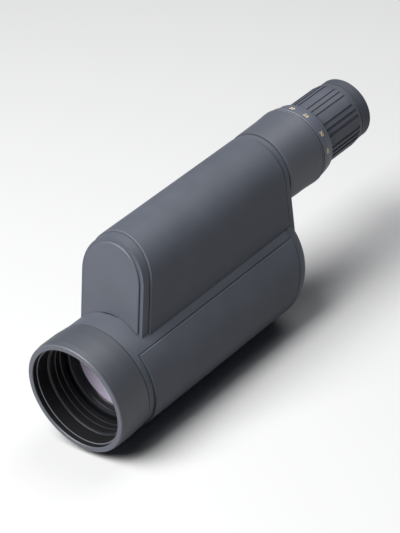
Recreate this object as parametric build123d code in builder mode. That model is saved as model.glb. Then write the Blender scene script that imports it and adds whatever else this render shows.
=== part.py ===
"""Spotting scope with a folded light path, straight zoom eyepiece and rear focus knob.

The lower barrel holds the objective and the main mirror, the arched upper barrel holds the
second mirror and carries the eyepiece. The front looks along -Y and +Z is up. The origin is
the mouth of the tripod socket. A station is a distance behind the rim of the lens hood.
"""
import os
from math import asin, cos, degrees, radians, sin, tan

from build123d import *

# ---------------------------------------------------------------- driving dimensions, mm
# Layout
socket_station = 138.0        # tripod socket behind the hood's rim
barrel_length = 209.0         # rim to the rear face, along the lower axis
axis_spacing = 64.1           # upper axis above the lower axis
upper_front = 54.7            # front flange of the upper barrel, at the upper axis
upper_back = barrel_length + 3.4   # rear wall of the upper barrel, at the upper axis
front_lean = 16.2             # degrees that the upper front face leans back
rear_lean = 14.2              # degrees that the lower rear face leans under
wall_lean = 3.0               # degrees that the upper rear wall leans under
casting_wall = 2.5

# Lower barrel and lens hood
barrel_radius = 41.2
hood_length = 28.4
hood_radius = 42.4
hood_rim_radius = 41.8
hood_mouth_radius = 37.9
filter_radius = 37.6          # crest radius of the filter thread
filter_length = 3.0
filter_start = 0.8
hood_bore_radius = 36.9
hood_bore_end = 13.6
spigot_radius = 39.8          # threaded spigot that the hood screws on to
spigot_length = 11.0
seam_width = 0.6              # open groove between hood and barrel
seam_depth = 0.8
objective_bore = 37.9
baffle_radius = 35.8          # valleys of the stepped ring behind the hood's bore
baffle_step = 0.7
baffle_length = 14.8
lower_panel_front = 34.6
lower_panel_proud = 1.5
lower_panel_recess = 0.6
lower_panel_angle = 36.6      # degrees above level where the panel's long edge lies
rear_edge_radius = 15.0       # rounding of the rear cap

# Upper barrel
upper_half_width = 27.3       # casting under the armour
front_band_proud = 0.5
front_band_length = 6.3
rear_band_proud = 0.9
rear_band_length = 4.4
upper_panel_proud = 1.6
plate_half_width = 24.8
plate_proud = 1.4
channel_depth = 0.6           # channel in the lower barrel that takes the plate's foot
panel_gap = 0.6               # open groove round each armour panel
bond_gap = 0.05               # glue line under armour and plates
edge_round = 0.5

# Objective
lens_radius = 32.0
clear_radius = 30.0
lens_edge_thickness = 5.0
curve_room = 0.35             # room for a lens's curve inside the ring that holds its rim
lens_station = 37.2
cell_front = 30.5
cell_length = 31.0
cell_wall = 2.4

# Mirrors
mirror_radius = 23.0
mirror_thickness = 6.0
mirror_depth = 26.0           # mirror face in front of the rear face, along the focus axis
second_mirror_radius = 18.0
second_mirror_thickness = 4.0

# Focus drive
knob_radius = 15.0
knob_height = 9.5
knob_gap = 0.5
knob_flutes = 18
focus_travel = 4.0            # each way from rest
focus_screw_radius = 3.0
bush_radius = 6.0
rod_radius = 2.0
rod_pitch_radius = mirror_radius + 5.0

# Eyepiece
sleeve_gap = 0.9              # dark gap between the rear wall and the sleeve
sleeve_length = 38.0
sleeve_front_radius = 29.2
sleeve_back_radius = 30.15
sleeve_spigot_radius = 22.0
dial_length = 11.6
dial_front_radius = 29.6
dial_back_radius = 27.7
turning_gap = 0.4
grip_length = 40.2
grip_radius = 25.0
grip_end_radius = 24.25
grip_core_radius = 23.4
groove_count_in_group = 3
groove_groups = 9
groove_pitch = 10.0           # degrees
groove_phase = 64.7           # degrees from level to the middle groove of one group
groove_width = 2.6
groove_depth = 0.75
zoom_turn = 136.0             # degrees from lowest to highest power
eyepiece_tube_radius = 19.6
eyepiece_tube_bore = 18.0
cam_outer = 22.4
pin_radius = 1.0
front_zoom_travel = 10.0
rear_zoom_travel = 8.0
eyecup_radius = 23.75
eyecup_length = 10.4
eyecup_mouth = 16.0
index_angle = 138.0           # degrees above level where the zoom index dot lies

# Tripod foot
foot_half_width = 12.0
foot_length = 84.0
foot_drop = 45.8              # tripod face below the lower axis
socket_radius = 2.6           # crest radius of the 1/4 inch tripod thread
socket_depth = 9.0
insert_radius = 5.0
foot_screw_spacing = 56.0

# Fits
running = 0.05                # radial room of a turning or sliding fit
slide_room = 0.35             # room between bodies that only pass each other
seat = 0.05                   # room round a part that is fixed in place

# ---------------------------------------------------------------- frames of reference
lower_height = foot_drop
upper_height = foot_drop + axis_spacing


def at(station):
    """Y of a station."""
    return station - socket_station


def leaning(station, height, lean):
    """A plane across the scope that faces rearward and leans by some degrees."""
    slope = radians(lean)
    return Plane(origin=(0, at(station), height), x_dir=(-1, 0, 0), z_dir=(0, cos(slope), -sin(slope)))


lower = leaning(0, lower_height, 0)
upper = leaning(0, upper_height, 0)
rear = leaning(barrel_length, lower_height, rear_lean)
mirror_run = axis_spacing / tan(2 * radians(rear_lean))
mirror_station = barrel_length - mirror_depth * cos(radians(rear_lean))
second = leaning(mirror_station - mirror_run, upper_height, rear_lean)
upper_face = leaning(upper_front, upper_height, front_lean)
back_wall = leaning(upper_back, upper_height, wall_lean)


# ---------------------------------------------------------------- shapes used by many pieces
def tube(frame, near, far, outer, inner=0.0, mode=Mode.ADD):
    """A tube, or a bar where the bore is zero, along a frame's own axis."""
    with BuildSketch(frame.offset(near)) as ring:
        Circle(outer)
        if inner:
            Circle(inner, mode=Mode.SUBTRACT)
    extrude(ring.sketch, amount=far - near, mode=mode)


def turned(frame, points, mode=Mode.ADD):
    """A closed outline of (distance along, radius) points turned about a frame's own axis."""
    side = Plane(origin=frame.origin, x_dir=frame.z_dir, z_dir=-frame.x_dir)
    with BuildSketch(side) as outline:
        with BuildLine():
            Polyline(*points, close=True)
        make_face()
    revolve(outline.sketch, axis=Axis(frame.origin, frame.z_dir), mode=mode)


def arch_bar(half_width, foot, front_plane, back_plane):
    """A round-topped bar along the upper barrel, between two leaning planes."""
    spare = 60.0
    front = front_plane.origin.Y - spare
    back = back_plane.origin.Y + spare
    with BuildPart(mode=Mode.PRIVATE) as bar:
        with BuildSketch(Plane(origin=(0, front, lower_height), x_dir=(-1, 0, 0), z_dir=(0, 1, 0))):
            with Locations((0, axis_spacing)):
                Circle(half_width)
            with Locations((0, (axis_spacing + foot) / 2)):
                Rectangle(2 * half_width, axis_spacing - foot)
        extrude(amount=back - front)
        split(bisect_by=front_plane, keep=Keep.TOP)
        split(bisect_by=back_plane, keep=Keep.BOTTOM)
    return bar.part


def lower_bar(radius, front, back_depth, edge=0.0):
    """A bar along the lower barrel, cut parallel to the rear face and rounded there by edge."""
    with BuildPart(mode=Mode.PRIVATE) as bar:
        tube(lower, front, barrel_length + radius, radius)
        split(bisect_by=rear.offset(-back_depth), keep=Keep.BOTTOM)
        if edge:
            fillet(bar.edges().sort_by(Axis.Y)[-1], edge)
    return bar.part


def cap_envelope(room):
    """The rear cap's whole outside, grown by some room."""
    with BuildPart(mode=Mode.PRIVATE) as bar:
        add(lower_bar(lower_panel_outer + room, barrel_length - cap_reach, -room, rear_edge_radius + room))
        split(bisect_by=rear.offset(-armour_depth - room), keep=Keep.TOP)
    return bar.part


def lower_panel_bar(outer, inner, front, back_depth, edge_angle):
    """The lower armour's wrap: a shell round the barrel, open above a given angle."""
    reach = 3 * outer
    with BuildPart(mode=Mode.PRIVATE) as wrap:
        add(lower_bar(outer, front, back_depth))
        add(lower_bar(inner, front - 1, back_depth - 1), mode=Mode.SUBTRACT)
        with BuildSketch(lower.offset(front - 1)):
            with BuildLine():
                rise = reach * tan(radians(edge_angle))
                Polyline((0, 0), (reach, rise), (-reach, rise), close=True)
            make_face()
        extrude(amount=barrel_length + reach, mode=Mode.SUBTRACT)
    return wrap.part


def socket_screw(place, head_radius, head_height, shank_radius, shank_length):
    """A socket-head screw: its top lies in the plane and its shank runs against the normal."""
    tube(place, -head_height, 0, head_radius)
    tube(place, -head_height - shank_length, -head_height, shank_radius)
    with BuildSketch(place) as socket:
        RegularPolygon(head_radius * 0.5, 6)
    extrude(socket.sketch, amount=-head_height * 0.6, mode=Mode.SUBTRACT)


def round_lens(frame, front, edge_thickness, radius, front_bulge, back_bulge):
    """A lens on a frame's axis; a positive bulge stands out of that side, a negative one dips."""
    back = front + edge_thickness
    with BuildSketch(Plane(origin=frame.origin, x_dir=frame.z_dir, z_dir=-frame.x_dir)) as outline:
        with BuildLine():
            for rim, bulge in ((front, -front_bulge), (back, back_bulge)):
                if bulge:
                    ball = (radius ** 2 + bulge ** 2) / (2 * abs(bulge))
                    drop = (ball - (ball ** 2 - radius ** 2 / 4) ** 0.5) * (1 if bulge > 0 else -1)
                    ThreePointArc((rim, radius), (rim + bulge - drop, radius / 2), (rim + bulge, 0))
                else:
                    Line((rim, radius), (rim, 0))
            Line((front - front_bulge, 0), (back + back_bulge, 0))
            Line((back, radius), (front, radius))
        make_face()
    revolve(outline.sketch, axis=Axis(frame.origin, frame.z_dir))


# ---------------------------------------------------------------- derived sizes
armour_depth = rear_edge_radius + 0.3                       # panel's rear edge in front of the rear face
lower_panel_outer = barrel_radius + lower_panel_proud
lower_panel_floor = barrel_radius - lower_panel_recess
barrel_bore = barrel_radius - casting_wall
gap_angle = degrees(asin(panel_gap / barrel_radius))
band_back = leaning(upper_front + front_band_length, upper_height, front_lean)
rear_band_front = leaning(upper_back - rear_band_length, upper_height, wall_lean)
cavity_front = leaning(upper_front + casting_wall + 1.0, upper_height, front_lean)
cavity_back = leaning(upper_back - casting_wall - 1.0, upper_height, wall_lean)
cavity_half_width = upper_half_width - casting_wall
channel_floor = barrel_radius - channel_depth
casting_foot = 20.0                                         # upper walls run this low inside the lower barrel
throat_front = cell_front + cell_length + 5.0               # start of the opening between the barrels
mirror_port = second_mirror_radius + 3.5
cap_reach = 60.0                                            # spare length in front of the cap's seam
hood_end = hood_length
spigot_front = hood_end - spigot_length
cover_half = mirror_port + 3.0
cover_thickness = 2.2


def on_face(frame, across, up):
    """The same plane with its origin moved within it."""
    return Plane(origin=frame.from_local_coords((across, up, 0)), x_dir=frame.x_dir, z_dir=frame.z_dir)


def outward(frame, across, up):
    """A plane at a point of a face, looking out of its far side."""
    return Plane(origin=frame.from_local_coords((across, up, 0)), x_dir=frame.x_dir, z_dir=-frame.z_dir)


def radial(frame, along, radius, angle):
    """A plane that faces away from a frame's axis, at an angle above level on the +X side."""
    away = Vector(cos(radians(angle)), 0, sin(radians(angle)))
    return Plane(origin=frame.origin + frame.z_dir * along + away * radius, x_dir=(0, 1, 0), z_dir=away)


cover_screw_radius = cover_half - 1.5
cover_screw_places = [
    outward(upper_face, cover_screw_radius * cos(radians(a)), cover_screw_radius * sin(radians(a)))
    for a in (90, -10, 190)]
cap_screw_places = []
for angle in (-20, -65, -115, -160):
    seat_height = lower_panel_floor * sin(radians(angle))
    seat_station = barrel_length + tan(radians(rear_lean)) * seat_height - armour_depth - 3.0
    cap_screw_places.append(radial(lower, seat_station, lower_panel_floor, angle))

# ---------------------------------------------------------------- housing
with BuildPart() as main_housing:
    turned(lower, [
        (spigot_front, 1), (spigot_front, spigot_radius), (hood_end + seat, spigot_radius),
        (hood_end + seat, barrel_radius - seam_depth), (hood_end + seam_width, barrel_radius - seam_depth),
        (hood_end + seam_width, barrel_radius),
        (hood_end + 10, barrel_radius), (hood_end + 10, 1)])
    add(lower_bar(barrel_radius, hood_end + 5, armour_depth))
    add(arch_bar(upper_half_width, casting_foot, upper_face, back_wall))
    add(arch_bar(upper_half_width + front_band_proud, casting_foot, upper_face, band_back))
    add(arch_bar(upper_half_width + rear_band_proud, casting_foot, rear_band_front, back_wall))
    # hollows
    tube(lower, spigot_front - 1, throat_front, objective_bore, mode=Mode.SUBTRACT)
    add(lower_bar(barrel_bore, throat_front, armour_depth), mode=Mode.SUBTRACT)
    add(arch_bar(cavity_half_width, 46.0, cavity_front, cavity_back), mode=Mode.SUBTRACT)
    add(arch_bar(cavity_half_width, 0.0, leaning(throat_front + 1, upper_height, 0), cavity_back),
        mode=Mode.SUBTRACT)
    # port for the second mirror, seat of its cover, and bore for the eyepiece
    add(arch_bar(mirror_port, axis_spacing - mirror_port, upper_face.offset(-5), cavity_front.offset(5)),
        mode=Mode.SUBTRACT)
    cover_floor = upper_face.offset(cover_thickness)
    add(arch_bar(cover_half, axis_spacing - cover_half, upper_face.offset(-5), cover_floor),
        mode=Mode.SUBTRACT)
    for place in cover_screw_places:
        tube(place, -cover_thickness - 1.2, 0, 0.7 + seat, mode=Mode.SUBTRACT)
    tube(upper, upper_back - 20, upper_back + 5, sleeve_spigot_radius + seat, mode=Mode.SUBTRACT)
    # channel that takes the foot of the front plate
    with BuildPart(mode=Mode.PRIVATE) as channel:
        channel_front = upper_face.offset(-plate_proud - panel_gap)
        add(arch_bar(plate_half_width + seat, casting_foot, channel_front, upper_face))
        tube(lower, 0, upper_back, channel_floor, mode=Mode.SUBTRACT)
    add(channel.part, mode=Mode.SUBTRACT)
    # sunk bed for the lower armour, with an open groove round its edge
    bed = lower_panel_bar(barrel_radius + 5, lower_panel_floor, lower_panel_front - panel_gap,
                          armour_depth - 5, lower_panel_angle + gap_angle)
    add(bed, mode=Mode.SUBTRACT)
    # bosses for the tripod foot
    for offset, radius in ((0, insert_radius + 3), (foot_screw_spacing / 2, 5), (-foot_screw_spacing / 2, 5)):
        boss = Plane(origin=(0, offset, 0), x_dir=(1, 0, 0), z_dir=(0, 0, 1))
        tube(boss, foot_drop - lower_panel_floor + 1.0, socket_depth + 4.0, radius)
    tube(Plane.XY, -1, socket_depth + 1.0, insert_radius + seat, mode=Mode.SUBTRACT)
    for offset in (-foot_screw_spacing / 2, foot_screw_spacing / 2):
        hole = Plane(origin=(0, offset, 0), x_dir=(1, 0, 0), z_dir=(0, 0, 1))
        tube(hole, 0, socket_depth + 2.0, 2.0 + seat, mode=Mode.SUBTRACT)
    # screws that hold the rear cap, sunk into the armour's bed
    for place in cap_screw_places:
        tube(place, -1.2, 1, 2.0 + seat, mode=Mode.SUBTRACT)
        tube(place, -6, 0, 1.1 + seat, mode=Mode.SUBTRACT)
main_housing.part.label = "main_housing"

# ---------------------------------------------------------------- lens hood and objective
with BuildPart() as lens_hood:
    turned(lower, [
        (0, hood_mouth_radius + 0.2), (0.4, hood_mouth_radius - 0.1), (filter_start, filter_radius),
        (filter_start + filter_length, filter_radius), (filter_start + filter_length + 0.3, hood_bore_radius),
        (hood_bore_end, hood_bore_radius), (hood_bore_end, spigot_radius + seat),
        (hood_end, spigot_radius + seat), (hood_end, barrel_radius + 0.1),
        (hood_end - 0.3, barrel_radius + 0.4), (18, hood_radius), (5, hood_radius),
        (0.7, hood_rim_radius), (0.2, hood_rim_radius - 0.3), (0, hood_rim_radius - 0.8)])
lens_hood.part.label = "lens_hood"

with BuildPart() as hood_baffle:
    rest = hood_bore_end + seat
    crest = baffle_radius - baffle_step
    turned(lower, [
        (rest, hood_bore_radius), (rest + 0.5, hood_bore_radius - 0.6), (rest + 0.8, crest),
        (rest + 3.6, crest), (rest + 3.6, baffle_radius), (rest + 6.0, baffle_radius),
        (rest + 6.4, crest), (rest + 7.8, crest), (rest + 8.2, baffle_radius), (rest + 11, baffle_radius), (rest + 11.4, crest),
        (rest + baffle_length, crest - 0.4), (rest + baffle_length, objective_bore - seat),
        (spigot_front - seat, objective_bore - seat), (spigot_front - seat, spigot_radius - 1),
        (rest, spigot_radius - 1)])
hood_baffle.part.label = "hood_baffle"

cell_outer = objective_bore - seat
cell_inner = cell_outer - cell_wall
first_lens_front = lens_station + 0.8
second_lens_front = first_lens_front + 9.0
with BuildPart() as objective_cell:
    tube(lower, cell_front, cell_front + cell_length, cell_outer, cell_inner)
    tube(lower, cell_front + cell_length - 6, cell_front + cell_length, cell_outer, clear_radius - 3)
    tube(lower, first_lens_front, cell_front + cell_length - 1, cell_inner + 0.5, lens_radius + seat)
objective_cell.part.label = "objective_cell"

with BuildPart() as objective_retainer:
    turned(lower, [
        (cell_front, cell_inner - seat), (cell_front, clear_radius + 3.0),
        (cell_front + 0.5, clear_radius + 1.9), (cell_front + 2.6, clear_radius + 1.7),
        (cell_front + 3.2, clear_radius + 1.4), (lens_station - 0.6, clear_radius + 0.7),
        (first_lens_front - curve_room, clear_radius), (first_lens_front - curve_room, cell_inner - seat)])
objective_retainer.part.label = "objective_retainer"

with BuildPart() as front_element:
    round_lens(lower, first_lens_front, lens_edge_thickness, lens_radius, 2.0, 2.0)
front_element.part.label = "front_element"

with BuildPart() as lens_spacer:
    spacer_front = first_lens_front + lens_edge_thickness + curve_room
    tube(lower, spacer_front, second_lens_front, lens_radius, clear_radius)
lens_spacer.part.label = "lens_spacer"

with BuildPart() as rear_element:
    round_lens(lower, second_lens_front, lens_edge_thickness, lens_radius, -1.0, 0.0)
rear_element.part.label = "rear_element"

# ---------------------------------------------------------------- armour panels
def from_lower_axis(point):
    """Distance of a point from the lower axis."""
    return (point.X ** 2 + (point.Z - lower_height) ** 2) ** 0.5


with BuildPart() as lower_armour:
    add(lower_panel_bar(lower_panel_outer, lower_panel_floor + bond_gap, lower_panel_front, armour_depth,
                        lower_panel_angle))
    with BuildSketch(Plane.XY.offset(-1)):
        RectangleRounded(2 * foot_half_width + 1, foot_length + 1, 3)
    extrude(amount=foot_drop / 2, mode=Mode.SUBTRACT)
    outer_edges = lower_armour.edges().filter_by(
        lambda e: abs(from_lower_axis(e @ 0.5) - lower_panel_outer) < 0.02
        and (e @ 0.5).Z > lower_height - lower_panel_outer + 4)
    chamfer(outer_edges, edge_round)
lower_armour.part.label = "lower_armour"

upper_panel_outer = upper_half_width + upper_panel_proud
panel_start = band_back.offset(panel_gap)
panel_end = rear_band_front.offset(-panel_gap)
with BuildPart() as upper_armour:
    add(arch_bar(upper_panel_outer, 10.0, panel_start, panel_end))
    end_edges = upper_armour.edges().filter_by(
        lambda e: (e @ 0.5).Z > upper_height + 1 and (e @ 0.5).X ** 2 < 1)
    chamfer(end_edges, edge_round)
    add(arch_bar(upper_half_width + bond_gap, 0.0, panel_start.offset(-5), panel_end.offset(5)),
        mode=Mode.SUBTRACT)
    tube(lower, 0, upper_back + 20, barrel_radius + 0.15, mode=Mode.SUBTRACT)
    add(cap_envelope(0.15), mode=Mode.SUBTRACT)
upper_armour.part.label = "upper_armour"

# ---------------------------------------------------------------- front of the upper barrel
collimation_places = [on_face(second, 14 * cos(radians(a)), 14 * sin(radians(a))) for a in (90, 210, 330)]
cell_back = -second_mirror_thickness - 1.8
with BuildPart() as mirror_cover:
    add(arch_bar(cover_half - seat, axis_spacing - cover_half + seat, upper_face,
                 upper_face.offset(cover_thickness - seat)))
    for place in cover_screw_places:
        tube(place, -1.0, 1, 1.2 + seat, mode=Mode.SUBTRACT)
        tube(place, -cover_thickness - 1, 0, 0.7 + seat, mode=Mode.SUBTRACT)
    for place in collimation_places:
        tube(place, -20, 0, 1.2 + seat, mode=Mode.SUBTRACT)
mirror_cover.part.label = "mirror_cover"

with BuildPart() as cover_screws:
    for place in cover_screw_places:
        socket_screw(place, 1.2, 1.0, 0.7, cover_thickness)
cover_screws.part.label = "cover_screws"

with BuildPart() as collimation_screws:
    for place in collimation_places:
        tube(place, cell_back - 3.6, cell_back - seat, 1.2)
collimation_screws.part.label = "collimation_screws"

with BuildPart() as front_plate:
    plate_back = upper_face.offset(-bond_gap)
    plate_front = upper_face.offset(-plate_proud)
    add(arch_bar(plate_half_width, casting_foot, plate_front, plate_back))
    tube(lower, 0, upper_back, channel_floor + 2 * seat, mode=Mode.SUBTRACT)
    faces_ahead = front_plate.faces().filter_by(lambda f: f.normal_at().dot(upper_face.z_dir) < -0.999)
    chamfer(faces_ahead.edges(), 0.4)
front_plate.part.label = "front_plate"

with BuildPart() as second_mirror:
    tube(second, -second_mirror_thickness, 0, second_mirror_radius)
second_mirror.part.label = "second_mirror"

with BuildPart() as second_mirror_cell:
    tube(second, cell_back, -0.8, second_mirror_radius + 2.0, second_mirror_radius + seat)
    tube(second, cell_back, -second_mirror_thickness - seat, second_mirror_radius + 1.0)
second_mirror_cell.part.label = "second_mirror_cell"

# ---------------------------------------------------------------- rear cap and its screws
cap_wall = 2.8
with BuildPart(mode=Mode.PRIVATE) as cap_spigot:
    add(lower_bar(barrel_bore - seat, barrel_length - cap_reach, armour_depth - 3))
    add(lower_bar(barrel_bore - 2.2, barrel_length - cap_reach - 5, armour_depth - 8), mode=Mode.SUBTRACT)
    split(bisect_by=rear.offset(-armour_depth - 6), keep=Keep.TOP)

with BuildPart(mode=Mode.PRIVATE) as cap_saddle:
    add(lower_bar(lower_panel_outer, barrel_length - cap_reach, 0, rear_edge_radius))
    split(bisect_by=back_wall.offset(2 * seat), keep=Keep.TOP)
    split(bisect_by=Plane(origin=(0, 0, lower_height + casting_foot + 2), z_dir=(0, 0, 1)), keep=Keep.TOP)

rod_angles = (-35, -145)
rod_places = [on_face(rear, rod_pitch_radius * cos(radians(a)), rod_pitch_radius * sin(radians(a)))
              for a in rod_angles]
# blind ends of the guide rods: deeper where they lie under the rounded edge of the cap
edge_reach = max(0.0, rod_pitch_radius + rod_radius + 1.0 - (lower_panel_outer - rear_edge_radius))
rod_cover = 1.4 + rear_edge_radius - (rear_edge_radius ** 2 - edge_reach ** 2) ** 0.5
rod_boss_front = -rod_cover - 3.0
fill_place = on_face(rear, 19.0, -12.0)
with BuildPart() as rear_cap:
    add(cap_envelope(0))
    split(bisect_by=rear.offset(-armour_depth + 2 * seat), keep=Keep.TOP)
    add(lower_bar(barrel_bore - 0.7, barrel_length - cap_reach - 5, cap_wall, rear_edge_radius - cap_wall),
        mode=Mode.SUBTRACT)
    add(cap_spigot.part)
    add(cap_saddle.part)
    for place in rod_places:
        tube(place, rod_boss_front, -rod_cover + 0.4, rod_radius + 2)
    # room for the upper barrel's rear wall and for the sleeve above it
    room_front = leaning(barrel_length - cap_reach, upper_height, 0)
    add(arch_bar(upper_half_width + rear_band_proud + 2 * seat, casting_foot - 2 * seat, room_front,
                 back_wall.offset(2 * seat)), mode=Mode.SUBTRACT)
    tube(upper, upper_back - 5, upper_back + cap_reach, sleeve_front_radius + 1.4, mode=Mode.SUBTRACT)
    tube(rear, -10, 5, bush_radius + seat, mode=Mode.SUBTRACT)
    for place in rod_places:
        tube(place, -10, -rod_cover, rod_radius + seat, mode=Mode.SUBTRACT)
    for place in cap_screw_places:
        tube(place, -6, 0, 1.1 + seat, mode=Mode.SUBTRACT)
    tube(fill_place, -10, 5, 1.5 + seat, mode=Mode.SUBTRACT)
    tube(fill_place, -1.4, 5, 2.8 + seat, mode=Mode.SUBTRACT)
rear_cap.part.label = "rear_cap"

with BuildPart() as cap_screws:
    for place in cap_screw_places:
        socket_screw(place.offset(-0.1), 2.0, 1.05, 1.1, 2.4)
cap_screws.part.label = "cap_screws"

with BuildPart() as fill_screw:
    socket_screw(fill_place.offset(-0.1), 2.8, 1.25, 1.5, 1.6)
fill_screw.part.label = "fill_screw"

# ---------------------------------------------------------------- focus drive and main mirror
nut_radius = 7.0
bush_flange = 2.0
nut_front = -16.0
nut_back = -cap_wall - bush_flange - focus_travel - 0.5
screw_front = -15.5
knob_top = knob_gap + knob_height
knob_bore_depth = knob_height - 2.5
with BuildPart() as focus_bush:
    tube(rear, -cap_wall - bush_flange, -cap_wall - seat, bush_radius + 2.5, focus_screw_radius + running)
    tube(rear, -cap_wall - bush_flange, 0, bush_radius, focus_screw_radius + running)
focus_bush.part.label = "focus_bush"

with BuildPart() as knob_washer:
    tube(rear, 0, knob_gap - running, 11, 7.5)
knob_washer.part.label = "knob_washer"

with BuildPart() as focus_screw:
    tube(rear, screw_front, knob_gap + knob_bore_depth, focus_screw_radius)
    chamfer(focus_screw.edges().filter_by(GeomType.CIRCLE), 0.4)
focus_screw.part.label = "focus_screw"

with BuildPart() as focus_knob:
    turned(rear, [
        (knob_gap, 0), (knob_top - 1.6, 0), (knob_top - 1.6, knob_radius - 5), (knob_top, knob_radius - 3.5),
        (knob_top, knob_radius - 1.2), (knob_top - 1.0, knob_radius), (knob_gap + 1.2, knob_radius),
        (knob_gap, knob_radius - 1.2)])
    tube(rear, knob_gap - 1, knob_gap + knob_bore_depth, focus_screw_radius + seat, mode=Mode.SUBTRACT)
    with BuildSketch(rear.offset(knob_gap + 1.6)):
        with PolarLocations(knob_radius + 0.9, knob_flutes):
            Circle(1.6)
    extrude(amount=knob_height, mode=Mode.SUBTRACT)
    set_place = Plane(origin=rear.from_local_coords((0, -knob_radius, knob_gap + 4)), x_dir=rear.x_dir,
                      z_dir=-rear.y_dir)
    tube(set_place, -knob_radius + 2, 1, 1.2 + seat, mode=Mode.SUBTRACT)
focus_knob.part.label = "focus_knob"

with BuildPart() as knob_set_screw:
    tube(set_place, -knob_radius + focus_screw_radius + seat, -4, 1.2)
knob_set_screw.part.label = "knob_set_screw"

with BuildPart() as guide_rods:
    for place in rod_places:
        tube(place, -25, -rod_cover - seat, rod_radius)
guide_rods.part.label = "guide_rods"

mirror_back = -mirror_depth + mirror_thickness
web_back = rod_boss_front - focus_travel - 1.5
web_front = web_back - 3.5
with BuildPart() as mirror_carriage:
    with BuildSketch(rear.offset(web_front)):
        Circle(rod_pitch_radius + 4)
        with Locations((0, rod_pitch_radius + 15)):
            Rectangle(3 * rod_pitch_radius, 2 * rod_pitch_radius, mode=Mode.SUBTRACT)
    extrude(amount=web_back - web_front)
    tube(rear, nut_front, nut_back - 0.5, nut_radius + 2.5)
    for place in rod_places:
        tube(place, web_front, web_back + 1.0, rod_radius + 2.5)
    tube(rear, mirror_back, web_front + 0.2, 13.5)
    tube(rear, mirror_back + seat, mirror_back + 2.0, mirror_radius + 2)
    tube(rear, -mirror_depth + 0.8, mirror_back + 1, mirror_radius + 2, mirror_radius + seat)
    tube(rear, mirror_back - 10, mirror_back + seat, mirror_radius + seat, mode=Mode.SUBTRACT)
    tube(rear, nut_front, 0, nut_radius + seat, mode=Mode.SUBTRACT)
    tube(rear, mirror_back - 1, nut_front + 1, focus_screw_radius + slide_room, mode=Mode.SUBTRACT)
    for place in rod_places:
        tube(place, -30, 0, rod_radius + running, mode=Mode.SUBTRACT)
mirror_carriage.part.label = "mirror_carriage"

with BuildPart() as focus_nut:
    tube(rear, nut_front, nut_back, nut_radius, focus_screw_radius + running)
focus_nut.part.label = "focus_nut"

with BuildPart() as main_mirror:
    tube(rear, -mirror_depth, mirror_back, mirror_radius)
main_mirror.part.label = "main_mirror"

# ---------------------------------------------------------------- eyepiece, fixed pieces
sleeve_start = upper_back + sleeve_gap
sleeve_end = sleeve_start + sleeve_length
neck_radius = 24.0
neck_end = sleeve_end + 7.0
tube_front = sleeve_end - 5.0
dial_start = sleeve_end + turning_gap
dial_end = dial_start + dial_length
grip_start = dial_end + 1.0
grip_end = grip_start + grip_length - 0.3
cup_start = grip_end + turning_gap
cup_end = cup_start + eyecup_length
tube_end = cup_end - 2.5
spigot_in = upper_back - 9.0
sleeve_bore = 19.5
sleeve_hollow = 25.5
index_radius = 0.9
index_depth = 1.0
index_place = radial(upper, sleeve_end - 6, sleeve_back_radius, index_angle)
with BuildPart() as eyepiece_sleeve:
    turned(upper, [
        (upper_back - 6, sleeve_bore), (upper_back - 6, sleeve_front_radius - 0.6),
        (sleeve_start + 0.2, sleeve_front_radius - 0.5), (sleeve_start + 2.2, sleeve_front_radius - 0.05),
        (sleeve_start + sleeve_length * 0.65, sleeve_front_radius + 0.3),
        (sleeve_end - 3.0, sleeve_back_radius), (sleeve_end - 2.8, sleeve_back_radius - 0.3),
        (sleeve_end - 2.3, sleeve_back_radius - 0.3), (sleeve_end - 2.1, sleeve_back_radius),
        (sleeve_end - 1.0, sleeve_back_radius - 0.05), (sleeve_end, sleeve_back_radius - 0.9),
        (sleeve_end, neck_radius), (neck_end, neck_radius), (neck_end, eyepiece_tube_radius + seat),
        (tube_front, eyepiece_tube_radius + seat), (tube_front, sleeve_hollow),
        (sleeve_start + 5, sleeve_hollow), (sleeve_start + 5, sleeve_bore)])
    split(bisect_by=back_wall.offset(sleeve_gap), keep=Keep.TOP)
    tube(upper, spigot_in, sleeve_start + 5, sleeve_spigot_radius, sleeve_bore)
    tube(index_place, -index_depth, 1, index_radius + seat, mode=Mode.SUBTRACT)
eyepiece_sleeve.part.label = "eyepiece_sleeve"

with BuildPart() as index_mark:
    tube(index_place, -index_depth, -seat, index_radius)
index_mark.part.label = "index_mark"

with BuildPart() as sleeve_seal:
    tube(upper, upper_back - 5, upper_back + 5, sleeve_front_radius - 4.5, sleeve_spigot_radius + seat)
    split(bisect_by=back_wall.offset(seat), keep=Keep.TOP)
    split(bisect_by=back_wall.offset(sleeve_gap - seat), keep=Keep.BOTTOM)
sleeve_seal.part.label = "sleeve_seal"

with BuildPart() as sleeve_lock_ring:
    tube(upper, upper_back - 8.0, upper_back - 5.2, cavity_half_width - 0.6, sleeve_spigot_radius + seat)
    with BuildSketch(upper.offset(upper_back - 8.0)):
        with PolarLocations(cavity_half_width - 0.6, 4):
            Rectangle(1.6, 3)
    extrude(amount=1.4, mode=Mode.SUBTRACT)
sleeve_lock_ring.part.label = "sleeve_lock_ring"

with BuildPart() as eyepiece_baffle:
    tube(upper, upper_back - 46, upper_back - 2, 15.0, 14.0)
    tube(upper, upper_back - 5, upper_back - 2, sleeve_bore - seat, 14.0)
eyepiece_baffle.part.label = "eyepiece_baffle"

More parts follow.
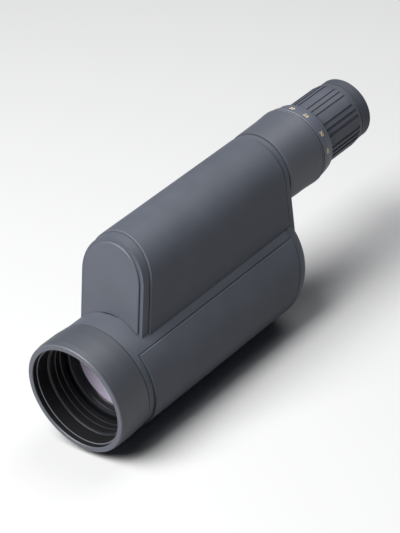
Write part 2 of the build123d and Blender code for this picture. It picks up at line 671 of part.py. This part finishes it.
front_rest = grip_start + 2.7                                # station of the front carrier's pins
rear_rest = cup_start - 8.6                                  # station of the rear carrier's pins
front_pin_angles = (90, 270)
rear_pin_angles = (90 + zoom_turn, 270 + zoom_turn)
slot_end_room = 0.2
with BuildPart() as eyepiece_tube:
    tube(upper, tube_front, tube_end, eyepiece_tube_radius, eyepiece_tube_bore)
    for rest, travel, angles in ((front_rest, front_zoom_travel, front_pin_angles),
                                 (rear_rest, -rear_zoom_travel, rear_pin_angles)):
        length = abs(travel) + 2 * (pin_radius + slot_end_room)
        for angle in angles:
            with BuildSketch(radial(upper, rest + travel / 2, eyepiece_tube_bore - 2, angle)) as slot:
                SlotOverall(length, 2 * (pin_radius + running))
            extrude(slot.sketch, amount=5, mode=Mode.SUBTRACT)
eyepiece_tube.part.label = "eyepiece_tube"

lens_edge = 14.0
with BuildPart() as field_stop:
    tube(upper, tube_front + 1, tube_front + 3, eyepiece_tube_bore - seat, 9.0)
field_stop.part.label = "field_stop"

with BuildPart() as field_lens:
    round_lens(upper, tube_front + 5.5, 3.0, eyepiece_tube_bore - seat, 2.0, 0.0)
field_lens.part.label = "field_lens"

eye_cell_front = cup_start - 2.6
eye_lens_thickness = 4.5
eye_lens_back = eye_cell_front + 1.1 + eye_lens_thickness
with BuildPart() as eye_lens_cell:
    tube(upper, eye_cell_front, tube_end - 2.2, eyepiece_tube_bore - seat, lens_edge + seat)
    tube(upper, eye_cell_front, eye_cell_front + 1, lens_edge + 1, lens_edge - 1.5)
eye_lens_cell.part.label = "eye_lens_cell"

with BuildPart() as eye_lens:
    round_lens(upper, eye_lens_back - eye_lens_thickness, eye_lens_thickness, lens_edge, -1.2, 1.6)
eye_lens.part.label = "eye_lens"

with BuildPart() as eye_lens_retainer:
    turned(upper, [
        (eye_lens_back + curve_room, lens_edge - seat), (tube_end - 2.1, lens_edge - seat),
        (tube_end - 2.1, eyepiece_tube_bore - seat), (tube_end - 0.2, eyepiece_tube_bore - seat),
        (tube_end - 0.2, lens_edge + 1.5), (tube_end - 1.5, lens_edge - 1.4),
        (eye_lens_back + curve_room, lens_edge - 1.4)])
eye_lens_retainer.part.label = "eye_lens_retainer"

with BuildPart() as ring_retainer:
    tube(upper, grip_end - 3.2, grip_end - 0.6, cam_outer - 0.6, eyepiece_tube_radius + seat)
ring_retainer.part.label = "ring_retainer"

# ---------------------------------------------------------------- power ring, turns to zoom
cam_start = neck_end + 0.6
cam_end = grip_end - 3.6
drive_station = front_rest + front_zoom_travel + 4.6         # screws that join the ring to the cam sleeve
drive_angles = (0, 120, 240)
drive_radius = 1.0
with BuildPart() as power_ring:
    turned(upper, [
        (dial_start, neck_radius + running), (dial_start, dial_front_radius - 0.4),
        (dial_start + 0.3, dial_front_radius), (dial_start + 5, dial_front_radius - 0.6),
        (dial_end - 1.4, dial_back_radius + 0.3), (dial_end - 0.3, dial_back_radius),
        (dial_end, dial_back_radius - 0.5), (grip_start - seat, grip_radius),
        (grip_start - seat, grip_core_radius), (grip_end, grip_core_radius), (grip_end, cam_outer + seat),
        (neck_end + turning_gap, cam_outer + seat), (neck_end + turning_gap, neck_radius + running)])
    for angle in drive_angles:
        tube(radial(upper, drive_station, 0, angle), cam_outer - 2, grip_core_radius + 2, drive_radius + seat,
             mode=Mode.SUBTRACT)
power_ring.part.label = "power_ring"

with BuildPart() as drive_screws:
    for angle in drive_angles:
        tube(radial(upper, drive_station, 0, angle), cam_outer - 1.3, grip_core_radius - 0.1, drive_radius)
drive_screws.part.label = "drive_screws"

with BuildPart() as cam_sleeve:
    tube(upper, cam_start, cam_end, cam_outer, eyepiece_tube_radius + running)
    mid_radius = (cam_outer + eyepiece_tube_radius) / 2
    overrun = degrees((pin_radius + slot_end_room + 0.4) / mid_radius)
    for lowest, travel, left_handed in ((front_rest, front_zoom_travel, False),
                                        (rear_rest - rear_zoom_travel, rear_zoom_travel, True)):
        rise = travel / zoom_turn
        path = Helix(pitch=360 * rise, height=travel + 2 * overrun * rise, radius=mid_radius,
                     center=(0, at(lowest - overrun * rise), upper_height), direction=(0, 1, 0),
                     lefthand=left_handed, mode=Mode.PRIVATE)
        start = path @ 0
        outward_dir = start - Vector(0, start.Y, upper_height)
        with BuildSketch(Plane(origin=start, x_dir=outward_dir, z_dir=path % 0)) as cutter:
            Rectangle(6, 2 * (pin_radius + 0.15))
        groove = sweep(cutter.sketch, path=path, is_frenet=True, mode=Mode.PRIVATE)
        turn_back = overrun if left_handed else -overrun
        axis = Axis((0, 0, upper_height), (0, 1, 0))
        add(groove.rotate(axis, turn_back), mode=Mode.SUBTRACT)
        add(groove.rotate(axis, 180 + turn_back), mode=Mode.SUBTRACT)
    for angle in drive_angles:
        tube(radial(upper, drive_station, 0, angle), cam_outer - 1.4, cam_outer + 2, drive_radius + seat,
             mode=Mode.SUBTRACT)
cam_sleeve.part.label = "cam_sleeve"

with BuildPart() as grip_rubber:
    turned(upper, [
        (grip_start, grip_core_radius + bond_gap), (grip_start, grip_radius - 0.3),
        (grip_start + 0.3, grip_radius), (grip_end - 5.5, grip_radius),
        (grip_end - 0.3, grip_end_radius), (grip_end, grip_end_radius - 0.3),
        (grip_end, grip_core_radius + bond_gap)])
    groove_length = grip_length - 4.6
    groove_middle = grip_start + 0.9 + groove_length / 2
    for group in range(groove_groups):
        middle_angle = groove_phase + group * 360 / groove_groups
        for step in range(groove_count_in_group):
            angle = middle_angle + (step - (groove_count_in_group - 1) / 2) * groove_pitch
            with BuildSketch(radial(upper, groove_middle, grip_radius - groove_depth, angle)) as groove_cut:
                SlotOverall(groove_length, groove_width)
            extrude(groove_cut.sketch, amount=3, mode=Mode.SUBTRACT)
grip_rubber.part.label = "grip_rubber"

# ---------------------------------------------------------------- zoom carriers, slide in the eyepiece tube
carrier_half = 5.0
with BuildPart() as front_carrier:
    tube(upper, front_rest - carrier_half, front_rest + carrier_half, eyepiece_tube_bore - running,
         lens_edge + seat)
    tube(upper, front_rest + carrier_half - 1, front_rest + carrier_half, lens_edge + 1, lens_edge - 1.5)
    for angle in front_pin_angles:
        tube(radial(upper, front_rest, 0, angle), lens_edge + 1, eyepiece_tube_bore + 1, pin_radius,
             mode=Mode.SUBTRACT)
front_carrier.part.label = "front_carrier"

with BuildPart() as front_zoom_lens:
    round_lens(upper, front_rest + carrier_half - 5.5, 4.0, lens_edge, -1.5, -0.8)
front_zoom_lens.part.label = "front_zoom_lens"

with BuildPart() as front_guide_pins:
    for angle in front_pin_angles:
        tube(radial(upper, front_rest, 0, angle), lens_edge + 1, cam_outer - 0.2, pin_radius)
front_guide_pins.part.label = "front_guide_pins"

with BuildPart() as rear_carrier:
    tube(upper, rear_rest - carrier_half, rear_rest + carrier_half, eyepiece_tube_bore - running,
         lens_edge + seat)
    tube(upper, rear_rest - carrier_half, rear_rest - carrier_half + 1, lens_edge + 1, lens_edge - 1.5)
    for angle in rear_pin_angles:
        tube(radial(upper, rear_rest, 0, angle), lens_edge + 1, eyepiece_tube_bore + 1, pin_radius,
             mode=Mode.SUBTRACT)
rear_carrier.part.label = "rear_carrier"

with BuildPart() as rear_zoom_lens:
    round_lens(upper, rear_rest - carrier_half + 2.6, 4.5, lens_edge, 1.4, 1.4)
rear_zoom_lens.part.label = "rear_zoom_lens"

with BuildPart() as rear_guide_pins:
    for angle in rear_pin_angles:
        tube(radial(upper, rear_rest, 0, angle), lens_edge + 1, cam_outer - 0.2, pin_radius)
rear_guide_pins.part.label = "rear_guide_pins"

# ---------------------------------------------------------------- eyecup, twists out
guide_outer = eyepiece_tube_radius + 1.4
with BuildPart() as eyecup_guide:
    tube(upper, cup_start, cup_end - 1.3, guide_outer, eyepiece_tube_radius + running)
eyecup_guide.part.label = "eyecup_guide"

with BuildPart() as eyecup:
    turned(upper, [
        (cup_start, guide_outer + running), (cup_start, eyecup_radius + 0.1),
        (cup_start + 0.3, eyecup_radius + 0.4), (cup_start + 2.5, eyecup_radius),
        (cup_end - 0.7, eyecup_radius), (cup_end - 0.2, eyecup_radius - 0.3),
        (cup_end, eyecup_radius - 0.8), (cup_end, eyecup_mouth + 1.4), (cup_end - 0.9, eyecup_mouth),
        (cup_end - 1.2, eyecup_mouth), (cup_end - 1.2, guide_outer + running)])
eyecup.part.label = "eyecup"

# ---------------------------------------------------------------- tripod foot
with BuildPart() as tripod_foot:
    with BuildSketch(Plane.XY):
        RectangleRounded(2 * foot_half_width, foot_length, 3)
    extrude(amount=foot_drop / 2)
    tube(lower, 0, barrel_length, lower_panel_floor + seat, mode=Mode.SUBTRACT)
    chamfer(tripod_foot.faces().sort_by(Axis.Z)[0].edges(), 0.8)
    tube(Plane.XY, -1, foot_drop, insert_radius + seat, mode=Mode.SUBTRACT)
    for offset in (-foot_screw_spacing / 2, foot_screw_spacing / 2):
        hole = Plane(origin=(0, offset, 0), x_dir=(1, 0, 0), z_dir=(0, 0, 1))
        tube(hole, -1, 3.4, 3.5 + seat, mode=Mode.SUBTRACT)
        tube(hole, -1, foot_drop, 2.0 + seat, mode=Mode.SUBTRACT)
tripod_foot.part.label = "tripod_foot"

with BuildPart() as thread_insert:
    tube(Plane.XY, 0, socket_depth + 1.0, insert_radius, socket_radius)
    tube(Plane.XY, socket_depth, socket_depth + 1.0, insert_radius)
thread_insert.part.label = "thread_insert"

with BuildPart() as foot_screws:
    for offset in (-foot_screw_spacing / 2, foot_screw_spacing / 2):
        socket_screw(Plane(origin=(0, offset, 0.4), x_dir=(1, 0, 0), z_dir=(0, 0, -1)), 3.5, 3.0, 2.0, 7.0)
foot_screws.part.label = "foot_screws"

# ---------------------------------------------------------------- write one file per piece
pieces = [
    main_housing, lens_hood, hood_baffle, objective_cell, objective_retainer, front_element,
    lens_spacer, rear_element, lower_armour, upper_armour, mirror_cover, cover_screws,
    collimation_screws, front_plate, second_mirror, second_mirror_cell, rear_cap, cap_screws,
    fill_screw, focus_bush, knob_washer, focus_screw, focus_knob, knob_set_screw, guide_rods,
    mirror_carriage, focus_nut, main_mirror, eyepiece_sleeve, index_mark, sleeve_seal,
    sleeve_lock_ring, eyepiece_baffle, eyepiece_tube, field_stop, field_lens, eye_lens_cell,
    eye_lens, eye_lens_retainer, ring_retainer, power_ring, drive_screws, cam_sleeve, grip_rubber,
    front_carrier, front_zoom_lens, front_guide_pins, rear_carrier, rear_zoom_lens, rear_guide_pins,
    eyecup_guide, eyecup, tripod_foot, thread_insert, foot_screws]
os.makedirs("parts", exist_ok=True)
for piece in pieces:
    export_step(piece.part, f"parts/{piece.part.label}.step")
print(len(pieces), "pieces, mirrors", round(mirror_run, 1), "mm apart, length", round(cup_end, 1))
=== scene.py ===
# %% [markdown]
# # A spotting scope, finished for rendering
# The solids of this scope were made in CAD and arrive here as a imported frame: one mesh for each
# real piece, already in its place, in metres. Blender's job is how it looks. Nothing in the frame
# is moved, so every piece still turns or slides where the real one does.

import math

import bpy
from mathutils import Matrix, Vector


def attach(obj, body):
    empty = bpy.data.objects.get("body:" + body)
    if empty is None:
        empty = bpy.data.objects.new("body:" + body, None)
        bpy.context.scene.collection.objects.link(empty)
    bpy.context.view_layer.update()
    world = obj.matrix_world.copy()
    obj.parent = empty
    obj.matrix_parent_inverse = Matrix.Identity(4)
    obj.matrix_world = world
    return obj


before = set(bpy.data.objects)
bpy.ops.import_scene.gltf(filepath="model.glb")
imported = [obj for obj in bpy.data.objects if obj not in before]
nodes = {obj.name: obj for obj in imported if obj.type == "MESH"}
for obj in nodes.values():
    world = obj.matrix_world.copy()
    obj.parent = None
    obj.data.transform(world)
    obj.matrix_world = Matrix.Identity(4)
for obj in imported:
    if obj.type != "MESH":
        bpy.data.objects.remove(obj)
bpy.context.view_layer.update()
MM = 0.001

# %% [markdown]
# ## Camera
# A long lens from well back keeps the two barrels nearly parallel, as a studio shot of a product
# does. The camera looks at a point near the middle of the scope from the front right and above, and
# rolls a little so that the barrels climb across the frame.

# %% Place the camera
azimuth = math.radians(44.83)
elevation = math.radians(31.11)
roll = math.radians(-9.74)
distance = 1582.7 * MM
aim = Vector((-5.7, 6.0, 67.2)) * MM

back = Vector((math.sin(azimuth) * math.cos(elevation),
               -math.cos(azimuth) * math.cos(elevation),
               math.sin(elevation)))
level_right = Vector((math.cos(azimuth), math.sin(azimuth), 0))
level_up = back.cross(level_right)
right = level_right * math.cos(roll) + level_up * math.sin(roll)
up = level_up * math.cos(roll) - level_right * math.sin(roll)

camera_data = bpy.data.cameras.new("studio_camera")
camera_data.lens = 152.3
camera_data.sensor_width = 36
camera_data.clip_start = 0.05
camera_data.clip_end = 50
camera = bpy.data.objects.new("studio_camera", camera_data)
bpy.context.scene.collection.objects.link(camera)
turn = Matrix((right, up, back)).transposed().to_4x4()
camera.matrix_world = Matrix.Translation(aim + back * distance) @ turn
bpy.context.scene.camera = camera
print("camera at", [round(v, 3) for v in camera.matrix_world.translation])

# %% [markdown]
# ## Colours and nodes
# Paint charts give colours in sRGB, the scale that screens use, but a renderer adds up light on a
# linear scale. One function turns a hex colour into linear values. A second one adds a shader node,
# sets its values and joins its inputs, so that each material below reads as a short recipe.

# %% Helpers for colours and materials
def linear(hex_code):
    """A linear RGBA colour from an sRGB hex code."""
    channels = [int(hex_code[i:i + 2], 16) / 255 for i in (1, 3, 5)]
    values = [c / 12.92 if c <= 0.04045 else ((c + 0.055) / 1.055) ** 2.4 for c in channels]
    return (*values, 1.0)


def add_node(tree, kind, values=None, links=None, **settings):
    """Adds a node, sets its properties and socket values, and joins other nodes' outputs to it."""
    node = tree.nodes.new(kind)
    for name, value in settings.items():
        setattr(node, name, value)
    for name, value in (values or {}).items():
        node.inputs[name].default_value = value
    for name, source in (links or {}).items():
        tree.links.new(source, node.inputs[name])
    return node


def new_material(name, **shader_values):
    """An empty material with one Principled shader; gives the material, its tree and the shader."""
    material = bpy.data.materials.new(name)
    material.use_nodes = True
    tree = material.node_tree
    shader = tree.nodes["Principled BSDF"]
    for socket, value in shader_values.items():
        shader.inputs[socket.replace("_", " ")].default_value = value
    return material, tree, shader


def wear(names, material):
    """Gives the material to each named CAD piece."""
    for name in names:
        node = nodes[name]
        node.data.materials.clear()
        node.data.materials.append(material)
        done.add(name)


done = set()
print("linear mid grey", [round(c, 3) for c in linear("#808080")])

# %% [markdown]
# ## Grain
# Moulded rubber, powder paint and bead-blasted metal all have a fine pebbled skin. It catches light
# as a soft broken sheen. A noise pattern pushed through a bump node gives that skin, and the same
# noise at a much larger scale moves the colour by a few percent, as uneven handling does.

# %% A grained skin for paint and rubber
patch_size = 22 * MM
grain_share = 0.35
patch_share = 0.65
gloss_spread = 0.06


def grained(name, dark, light, grain_mm, depth_mm, roughness, **shader_values):
    """A matte skin with pebbles grain_mm across and depth_mm deep between two near colours."""
    material, tree, shader = new_material(name, Roughness=roughness, **shader_values)
    place = add_node(tree, "ShaderNodeTexCoord")
    grain = add_node(tree, "ShaderNodeTexNoise",
                     {"Scale": 1 / (grain_mm * MM), "Detail": 3, "Roughness": 0.55},
                     {"Vector": place.outputs["Object"]})
    patches = add_node(tree, "ShaderNodeTexNoise", {"Scale": 1 / patch_size, "Detail": 2},
                       {"Vector": place.outputs["Object"]})
    blend = add_node(tree, "ShaderNodeMath", {1: grain_share}, {0: grain.outputs["Fac"]},
                     operation="MULTIPLY")
    both = add_node(tree, "ShaderNodeMath", {1: patch_share},
                    {0: patches.outputs["Fac"], 2: blend.outputs[0]}, operation="MULTIPLY_ADD")
    colour = add_node(tree, "ShaderNodeValToRGB", links={"Fac": both.outputs[0]})
    colour.color_ramp.elements[0].position = 0.35
    colour.color_ramp.elements[0].color = linear(dark)
    colour.color_ramp.elements[1].position = 0.65
    colour.color_ramp.elements[1].color = linear(light)
    tree.links.new(colour.outputs["Color"], shader.inputs["Base Color"])
    gloss = add_node(tree, "ShaderNodeMapRange",
                     {"To Min": roughness - gloss_spread, "To Max": roughness + gloss_spread},
                     {"Value": both.outputs[0]})
    tree.links.new(gloss.outputs["Result"], shader.inputs["Roughness"])
    bump = add_node(tree, "ShaderNodeBump", {"Strength": 0.6, "Distance": depth_mm * MM},
                    {"Height": grain.outputs["Fac"]})
    tree.links.new(bump.outputs["Normal"], shader.inputs["Normal"])
    return material


# Nitrile rubber armour, compression moulded against a spark-eroded tool: a dull, soft sheen.
armour_rubber = grained("moulded_rubber_armour", "#3D4047", "#42464E", 0.9, 0.05, 0.62,
                        Specular_IOR_Level=0.32)
# Magnesium casting under powder paint: a little smoother and harder than the rubber.
casting_paint = grained("powder_coated_casting", "#3E424A", "#44474F", 0.7, 0.03, 0.55,
                        Specular_IOR_Level=0.35)
# The plate is moulded ABS with a satin spray coat, the smoothest face of the scope.
plate_coat = grained("satin_coated_abs", "#43464D", "#464951", 0.6, 0.012, 0.5, Specular_IOR_Level=0.35)
# Silicone rubber of the grip: as grey as the armour, with a little more shine on its ribs.
grip_skin = grained("moulded_silicone_grip", "#3D4048", "#43464E", 0.8, 0.03, 0.6, Specular_IOR_Level=0.4)
# The eyecup is a softer rubber that shines least of all the skins; its colour is darker than the grip's,
# painted shade.
eyecup_skin_painted_shade = grained("eyecup_rubber_painted_shade", "#35383F", "#3A3D44", 0.8, 0.03, 0.62, Specular_IOR_Level=0.3)

wear(["lower_armour", "upper_armour"], armour_rubber)
wear(["main_housing", "rear_cap"], casting_paint)
wear(["front_plate"], plate_coat)
wear(["grip_rubber", "focus_knob"], grip_skin)
wear(["eyecup"], eyecup_skin_painted_shade)
print("skins on", len(done), "pieces")

# %% [markdown]
# ## Turned metal
# The hood, the sleeve and the power ring are turned on a lathe, then blasted and anodised. The tool
# leaves rings round the axis, which survive as a faint banding across the sheen. The pattern takes
# the position along the barrel, so the rings go round it, and it works on every piece at once.

# %% Turned and anodised aluminium
wave_length = 0.314   # one ring of the wave texture at a scale of one
blast_size = 0.6 * MM


def turned_metal(name, colour, pitch_mm, roughness, metallic, depth_mm=0.01, **shader_values):
    """A lathe-turned finish with rings pitch_mm apart along the barrels."""
    material, tree, shader = new_material(name, Base_Color=linear(colour), Roughness=roughness,
                                          Metallic=metallic, **shader_values)
    place = add_node(tree, "ShaderNodeTexCoord")
    rings = add_node(tree, "ShaderNodeTexWave",
                     {"Scale": wave_length / (pitch_mm * MM), "Distortion": 0.4, "Detail": 1},
                     {"Vector": place.outputs["Object"]}, bands_direction="Y")
    blast = add_node(tree, "ShaderNodeTexNoise", {"Scale": 1 / blast_size, "Detail": 2},
                     {"Vector": place.outputs["Object"]})
    height = add_node(tree, "ShaderNodeMath", {1: 0.5}, {0: rings.outputs["Fac"], 2: blast.outputs["Fac"]},
                      operation="MULTIPLY_ADD")
    gloss = add_node(tree, "ShaderNodeMapRange", {"To Min": roughness - 0.05, "To Max": roughness + 0.07},
                     {"Value": blast.outputs["Fac"]})
    tree.links.new(gloss.outputs["Result"], shader.inputs["Roughness"])
    bump = add_node(tree, "ShaderNodeBump", {"Strength": 0.5, "Distance": depth_mm * MM},
                    {"Height": height.outputs[0]})
    tree.links.new(bump.outputs["Normal"], shader.inputs["Normal"])
    return material


# The outer rings carry a matte pigment coat over the turning, so they read as paint, not as metal.
# The hood's coat is darker than the sleeve's, painted shade for the shade on its flank, and the dial's
# coat is a shade lighter.
ring_coat = turned_metal("coated_turned_aluminium", "#41444B", 0.8, 0.5, 0.0, 0.012)
hood_coat_painted_shade = turned_metal("hood_aluminium_painted_shade", "#373A40", 0.8, 0.5, 0.0, 0.012)
dial_coat = turned_metal("coated_dial_ring", "#4B4E59", 0.7, 0.46, 0.0, 0.01)
# Black anodised bores and cells: the dye is nearly black, the metal under it still glints.
black_anodised = turned_metal("black_anodised_aluminium", "#15171B", 0.9, 0.42, 0.25, 0.02)
machined_brass = turned_metal("machined_brass", "#C9A45C", 0.5, 0.32, 1.0, 0.01)
machined_steel = turned_metal("machined_stainless_steel", "#B9BBBD", 0.5, 0.3, 1.0, 0.01)
blackened_steel = turned_metal("blackened_steel", "#26272A", 0.5, 0.4, 0.8, 0.01)

wear(["eyepiece_sleeve"], ring_coat)
wear(["lens_hood"], hood_coat_painted_shade)
wear(["power_ring"], dial_coat)
wear(["objective_cell", "objective_retainer", "lens_spacer", "mirror_cover", "second_mirror_cell",
      "mirror_carriage", "eyepiece_tube", "eye_lens_cell", "eye_lens_retainer", "field_stop",
      "eyecup_guide", "tripod_foot"], black_anodised)
wear(["focus_bush", "sleeve_lock_ring", "ring_retainer", "cam_sleeve", "front_carrier", "rear_carrier",
      "focus_nut"], machined_brass)
wear(["cover_screws", "collimation_screws", "cap_screws", "guide_rods", "drive_screws", "focus_screw",
      "front_guide_pins", "rear_guide_pins", "thread_insert"], machined_steel)
wear(["fill_screw", "knob_set_screw", "foot_screws"], blackened_steel)
print("materials on", len(done), "pieces")

# %% [markdown]
# ## Flat black
# Stray light spoils a telescope, so the baffles are sprayed with a flat black paint full of fine
# powder. It has almost no gloss, and its colour is set darker than real paint: painted shade for the
# dim inside of the bores. The seals are soft black rubber.

# %% Baffle paint, seals and the index dot
# Painted shade: this black is darker than any paint, for the dim inside of the hood and eyepiece.
flat_black_with_painted_shade = grained("flat_black_paint_with_painted_shade", "#030304", "#050506", 0.5, 0.03, 0.7,
                       Specular_IOR_Level=0.2)
seal_rubber = grained("nitrile_seal", "#0C0C0D", "#121213", 0.6, 0.02, 0.55)
marking_paint = grained("cream_marking_paint", "#C9B98C", "#D6C89C", 0.4, 0.005, 0.5)
wear(["hood_baffle", "eyepiece_baffle"], flat_black_with_painted_shade)
wear(["sleeve_seal", "knob_washer"], seal_rubber)
wear(["index_mark"], marking_paint)
print("materials on", len(done), "pieces")

# %% [markdown]
# ## Two finishes on one piece
# The hood is coated outside and flat black inside, and the coat stops at the inner edge of the rim.
# A mesh can carry several materials, and each face names the one that it wears. Faces nearer to the
# axis than the rim's inner edge are inside. Corners of the bore's rings show as thin lines of painted
# highlight: pale near the mouth of the hood, dim farther in, painted shade where less light gets in.

# %% Blacken the hood's bore
lower_axis = 45.8 * MM
hood_front = -138 * MM
rim_inner_radius = 38.0 * MM
# Painted highlight on the corners of the bore's rings: a pale copy near the mouth, a dim one deeper in.
pale_edge_highlight = turned_metal("painted_edge_highlight_pale", "#585B61", 0.9, 0.4, 0.2, 0.01)
dim_edge_highlight = turned_metal("painted_edge_highlight_dim", "#222428", 0.9, 0.4, 0.2, 0.01)
# The front face of the rim is a shade lighter than the hood's coat.
rim_face_lighter = turned_metal("lighter_rim_face", "#474A52", 0.9, 0.45, 0.0, 0.01)


def from_axis(point):
    """Distance of a point from the lower barrel's axis."""
    return math.hypot(point.x, point.z - lower_axis)


def paint_faces(name, material, chosen):
    """Gives a material to the faces of a CAD piece that a test picks."""
    mesh = nodes[name].data
    mesh.materials.append(material)
    count = 0
    for face in mesh.polygons:
        radii = [from_axis(mesh.vertices[i].co) for i in face.vertices]
        stations = [mesh.vertices[i].co.y - hood_front for i in face.vertices]
        if chosen(min(radii), max(radii), min(stations), max(stations)):
            face.material_index = len(mesh.materials) - 1
            count += 1
    print(count, "faces of", name, "wear", material.name)


def is_step_edge(r0, r1, s0, s1):
    """True for the narrow cones that break the corners of the bore's rings."""
    return r1 - r0 > 0.05 * MM and 0.1 * MM < s1 - s0 < 0.7 * MM and r1 < rim_inner_radius


paint_faces("lens_hood", flat_black_with_painted_shade, lambda r0, r1, s0, s1: r1 < rim_inner_radius and s1 > 0.5 * MM)
paint_faces("lens_hood", pale_edge_highlight, lambda r0, r1, s0, s1: is_step_edge(r0, r1, s0, s1) and s0 > 2 * MM)
paint_faces("lens_hood", rim_face_lighter, lambda r0, r1, s0, s1: s1 < 0.75 * MM and r1 > rim_inner_radius)
paint_faces("hood_baffle", dim_edge_highlight, is_step_edge)
paint_faces("objective_retainer", dim_edge_highlight, is_step_edge)

# %% [markdown]
# ## Coated glass and mirrors
# Lens faces carry thin layers of fluoride that cancel most reflections. What they still reflect is
# lilac, so a lens shows a lilac bloom where light falls on it. The bloom is a painted reflection and
# not the optics of real glass: the body is pale lilac and passes little light, and both its refractive
# index and its coat's are above those of common lens glass. The mirrors are silvered in front.

# %% Optical glass and silver
# Painted reflection: the pale lilac body colour stands in for the coating's bloom.
glass_painted_reflection, glass_tree, glass_shader = new_material(
    "optical_glass_painted_reflection", Base_Color=linear("#EDE2FA"), Roughness=0.02, IOR=1.9,
    Transmission_Weight=0.1, Specular_Tint=linear("#D6C6EA"), Coat_Weight=1.0, Coat_IOR=2.1,
    Coat_Roughness=0.0)
dust_size = 3 * MM
dust_place = add_node(glass_tree, "ShaderNodeTexCoord")
dust = add_node(glass_tree, "ShaderNodeTexNoise", {"Scale": 1 / dust_size, "Detail": 4},
                {"Vector": dust_place.outputs["Object"]})
haze = add_node(glass_tree, "ShaderNodeMapRange", {"From Min": 0.4, "To Min": 0.01, "To Max": 0.04},
                {"Value": dust.outputs["Fac"]})
glass_tree.links.new(haze.outputs["Result"], glass_shader.inputs["Roughness"])

silvered_glass = turned_metal("front_silvered_mirror", "#E6E8EB", 3.0, 0.06, 1.0, 0.0002)
wear(["front_element", "rear_element", "field_lens", "eye_lens", "front_zoom_lens", "rear_zoom_lens"],
     glass_painted_reflection)
wear(["main_mirror", "second_mirror"], silvered_glass)
assert done == set(nodes), set(nodes) - done
print("every CAD piece has a material:", len(done))

# %% [markdown]
# ## Numbers on the power ring
# The ring is printed with its magnifications. Ink is a few hundredths of a millimetre thick and
# follows the cone of the ring. Each number starts as flat text, becomes a mesh, and every point is
# then laid on the cone by its angle and its distance along the barrel. The ink rides on the ring.

# %% Print the dial
barrel_axis = 109.9 * MM
cone = ((114.0 * MM, 29.6 * MM), (118.7 * MM, 29.0 * MM), (123.9 * MM, 28.0 * MM))
ink_thickness = 0.08 * MM
digit_height = 3.0 * MM
digit_station = 118.2 * MM
digit_share = 0.7   # height of a digit as a share of the font's size
magnifications = (("12", 138), ("15", 113), ("20", 88), ("25", 63), ("30", 29), ("40", 2))


def cone_radius(y):
    """Radius of the power ring at a place along the barrel."""
    for (y_front, r_front), (y_back, r_back) in zip(cone, cone[1:]):
        if y <= y_back:
            break
    return r_front + (r_back - r_front) * (y - y_front) / (y_back - y_front)


def print_number(text, angle, station, height):
    """Lays a number on the power ring's cone, centred at an angle above level and a place along Y."""
    curve = bpy.data.curves.new(f"number_{text}", "FONT")
    curve.body = text
    curve.size = height / digit_share
    curve.align_x = "CENTER"
    curve.align_y = "CENTER"
    curve.extrude = ink_thickness / 2
    curve.resolution_u = 6
    flat = bpy.data.objects.new(f"flat_{text}", curve)
    bpy.context.scene.collection.objects.link(flat)
    bpy.context.view_layer.update()
    mesh = bpy.data.meshes.new_from_object(flat)
    bpy.data.objects.remove(flat)
    for vertex in mesh.vertices:
        across, along, lift = vertex.co
        y = station + along
        radius = cone_radius(y) + lift + ink_thickness / 2
        turn_angle = math.radians(angle) - across / cone_radius(y)
        vertex.co = (radius * math.cos(turn_angle), y, barrel_axis + radius * math.sin(turn_angle))
    printed = bpy.data.objects.new(f"dial_number_{text}", mesh)
    bpy.context.scene.collection.objects.link(printed)
    mesh.materials.clear()
    mesh.materials.append(marking_paint)
    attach(printed, "power_ring")
    print(printed.name, "at", angle, "degrees")


for text, angle in magnifications:
    print_number(text, angle, digit_station, digit_height)

# %% [markdown]
# ## Studio
# A product studio puts the object on a pale sweep under one large soft light, with weak light from
# everywhere else. The key light stands to the left of the camera, high up, so the tops and the
# front plate are bright and the flanks that face right fall into soft shade.

# %% Floor, sky and lights
floor_mesh = bpy.data.meshes.new("studio_floor")
reach = 12.0
floor_gap = 0.2 * MM
corners = [(-reach, -reach, 0), (reach, -reach, 0), (reach, reach, 0), (-reach, reach, 0)]
floor_mesh.from_pydata(corners, [], [(0, 1, 2, 3)])
floor = bpy.data.objects.new("studio_floor", floor_mesh)
floor.location.z = -floor_gap
bpy.context.scene.collection.objects.link(floor)
floor_paint, _, _ = new_material("matte_studio_floor", Base_Color=linear("#A8A8A8"), Roughness=0.9,
                                 Specular_IOR_Level=0.0)
floor_mesh.materials.append(floor_paint)

sky = bpy.data.worlds.new("studio_sky")
sky.use_nodes = True
sky.node_tree.nodes["Background"].inputs["Color"].default_value = linear("#D5E0FF")
sky.node_tree.nodes["Background"].inputs["Strength"].default_value = 0.07
bpy.context.scene.world = sky
bpy.context.scene.view_settings.view_transform = "Standard"


lit_point = Vector((0, 0.02, 0.07))


def soft_light(name, direction, away, side, power):
    """A square soft light at some distance from the scope, facing it."""
    lamp = bpy.data.lights.new(name, "AREA")
    lamp.shape = "SQUARE"
    lamp.size = side
    lamp.energy = power
    holder = bpy.data.objects.new(name, lamp)
    bpy.context.scene.collection.objects.link(holder)
    toward = Vector(direction).normalized()
    holder.location = lit_point + toward * away
    holder.rotation_mode = "QUATERNION"
    holder.rotation_quaternion = toward.to_track_quat("Z", "Y")


soft_light("key_light", (-0.2, -0.62, 1.0), 1.9, 1.4, 106)
soft_light("top_light", (0.1, 0.5, 1.0), 1.9, 1.2, 17)
